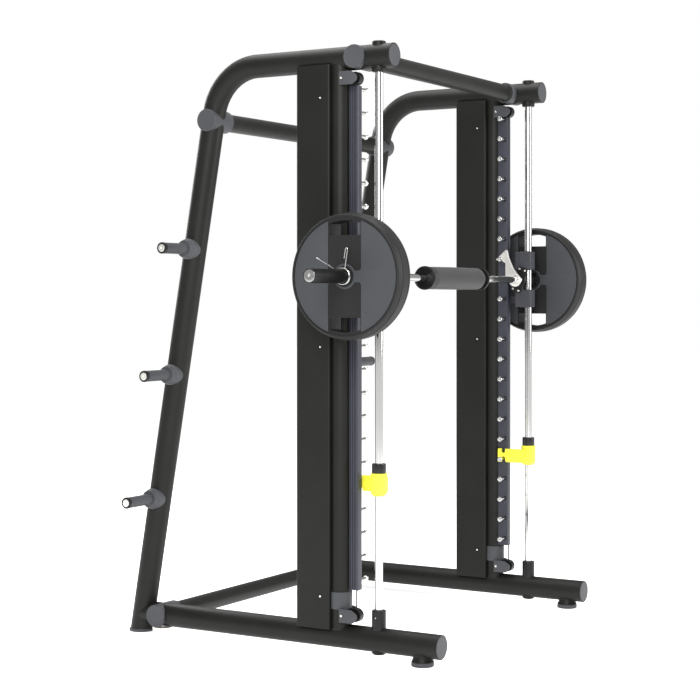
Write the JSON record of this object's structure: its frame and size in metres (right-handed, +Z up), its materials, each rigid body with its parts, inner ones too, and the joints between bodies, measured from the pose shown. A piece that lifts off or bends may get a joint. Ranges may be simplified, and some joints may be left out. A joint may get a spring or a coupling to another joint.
{
  "type": "smith machine",
  "caption": "Smith machine with round-tube side frames, guide rods and peg racks, a counterbalanced hooked bar, padded grip, weight plates, safety stops and plate storage horns.",
  "frame": {"origin": "on the floor, at the bottom centre of the bounding box", "axes": "+Z up, +X to the right, the open front and the bar towards -Y"},
  "size_m": [2.1232, 1.368, 2.2235],
  "materials": {
    "powder_coat": "fine-textured satin powder coat",
    "slate_plastic": "slate grey satin moulding",
    "rack_steel": "dark blue-grey satin paint",
    "carriage_coat": "slate grey satin paint",
    "chrome": "polished",
    "plated_steel": "satin plating",
    "yellow_coat": "bright yellow satin paint",
    "plate_rubber": "matt moulded rubber",
    "bumper_rubber": "matt",
    "black_nylon": "satin",
    "cable": "black sheathed steel cable",
    "pad_foam": "smooth dense foam skin",
    "iron": "raw"
  },
  "bodies": {
    "frame": {"frame_tube_left": "powder_coat", "base_rail_left": "powder_coat", "column_cover_left": "powder_coat", "column_post_left": "powder_coat", "rod_socket_left": "powder_coat", "hub_top_front_left": "slate_plastic", "hub_rear_upper_left": "slate_plastic", "hub_rear_lower_left": "slate_plastic", "peg_rack_left": "rack_steel", "guide_rod_left": "chrome", "front_foot_left": "slate_plastic", "rear_foot_left": "slate_plastic", "plate_horn_left_1": "slate_plastic", "plate_horn_left_2": "slate_plastic", "plate_horn_left_3": "slate_plastic", "pulley_bracket_bottom_left": "slate_plastic", "pulley_bracket_top_left": "slate_plastic", "counter_cable_left": "cable", "frame_tube_right": "powder_coat", "base_rail_right": "powder_coat", "column_cover_right": "powder_coat", "column_post_right": "powder_coat", "rod_socket_right": "powder_coat", "hub_top_front_right": "slate_plastic", "hub_rear_upper_right": "slate_plastic", "hub_rear_lower_right": "slate_plastic", "peg_rack_right": "rack_steel", "guide_rod_right": "chrome", "front_foot_right": "slate_plastic", "rear_foot_right": "slate_plastic", "plate_horn_right_1": "slate_plastic", "plate_horn_right_2": "slate_plastic", "plate_horn_right_3": "slate_plastic", "pulley_bracket_bottom_right": "slate_plastic", "pulley_bracket_top_right": "slate_plastic", "counter_cable_right": "cable", "cross_tube_top_front": "powder_coat", "cross_tube_rear_upper": "powder_coat", "cross_tube_rear_lower": "powder_coat"},
    "carriage": {"carriage_left": "carriage_coat", "carriage_right": "carriage_coat"},
    "bar": {"bar": "chrome", "squat_pad": "pad_foam", "hook_left": "plated_steel", "hook_right": "plated_steel"},
    "counterweight_left": {"counterweight_left": "iron"},
    "pulley_bottom_left": {"pulley_bottom_left": "black_nylon"},
    "pulley_top_left": {"pulley_top_left": "black_nylon"},
    "plate_left": {"weight_plate_left": "plate_rubber"},
    "clip_left": {"spring_clip_left": "plated_steel"},
    "stop_left": {"stop_bumper_left": "bumper_rubber", "safety_stop_left": "yellow_coat"},
    "counterweight_right": {"counterweight_right": "iron"},
    "pulley_bottom_right": {"pulley_bottom_right": "black_nylon"},
    "pulley_top_right": {"pulley_top_right": "black_nylon"},
    "plate_right": {"weight_plate_right": "plate_rubber"},
    "clip_right": {"spring_clip_right": "plated_steel"},
    "stop_right": {"stop_bumper_right": "bumper_rubber", "safety_stop_right": "yellow_coat"}
  },
  "joints": [
    {"name": "carriage_slide", "type": "slide", "parent": "frame", "child": "carriage", "axis": [0, 0, 1], "range_m": [-0.51, 0.595]},
    {"name": "bar_turn", "type": "hinge", "parent": "carriage", "child": "bar", "pos_m": [0, -0.403, 1.3765], "axis": [1, 0, 0], "range_deg": [0, 35]},
    {"name": "counterweight_left_slide", "type": "slide", "parent": "frame", "child": "counterweight_left", "axis": [0, 0, 1], "range_m": [-0.595, 0.51]},
    {"name": "pulley_bottom_left_spin", "type": "hinge", "parent": "frame", "child": "pulley_bottom_left", "pos_m": [-0.64, -0.3215, 0.1535], "axis": [1, 0, 0], "continuous": true},
    {"name": "pulley_top_left_spin", "type": "hinge", "parent": "frame", "child": "pulley_top_left", "pos_m": [-0.64, -0.3215, 2.0945], "axis": [1, 0, 0], "continuous": true},
    {"name": "plate_left_slide", "type": "slide", "parent": "bar", "child": "plate_left", "axis": [-1, 0, 0], "range_m": [0, 0.315]},
    {"name": "clip_left_slide", "type": "slide", "parent": "plate_left", "child": "clip_left", "axis": [-1, 0, 0], "range_m": [0, 0.235]},
    {"name": "stop_left_slide", "type": "slide", "parent": "frame", "child": "stop_left", "axis": [0, 0, 1], "range_m": [-0.34, 0.17]},
    {"name": "counterweight_right_slide", "type": "slide", "parent": "frame", "child": "counterweight_right", "axis": [0, 0, 1], "range_m": [-0.595, 0.51]},
    {"name": "pulley_bottom_right_spin", "type": "hinge", "parent": "frame", "child": "pulley_bottom_right", "pos_m": [0.64, -0.3215, 0.1535], "axis": [1, 0, 0], "continuous": true},
    {"name": "pulley_top_right_spin", "type": "hinge", "parent": "frame", "child": "pulley_top_right", "pos_m": [0.64, -0.3215, 2.0945], "axis": [1, 0, 0], "continuous": true},
    {"name": "plate_right_slide", "type": "slide", "parent": "bar", "child": "plate_right", "axis": [1, 0, 0], "range_m": [0, 0.315]},
    {"name": "clip_right_slide", "type": "slide", "parent": "plate_right", "child": "clip_right", "axis": [1, 0, 0], "range_m": [0, 0.235]},
    {"name": "stop_right_slide", "type": "slide", "parent": "frame", "child": "stop_right", "axis": [0, 0, 1], "range_m": [-0.34, 0.17]}
  ],
  "couplings": [
    {"joint": "counterweight_left_slide", "follows": "carriage_slide", "ratio": -1},
    {"joint": "pulley_bottom_left_spin", "follows": "carriage_slide", "rad_per_m": -50},
    {"joint": "pulley_top_left_spin", "follows": "carriage_slide", "rad_per_m": -50},
    {"joint": "counterweight_right_slide", "follows": "carriage_slide", "ratio": -1},
    {"joint": "pulley_bottom_right_spin", "follows": "carriage_slide", "rad_per_m": -50},
    {"joint": "pulley_top_right_spin", "follows": "carriage_slide", "rad_per_m": -50}
  ]
}
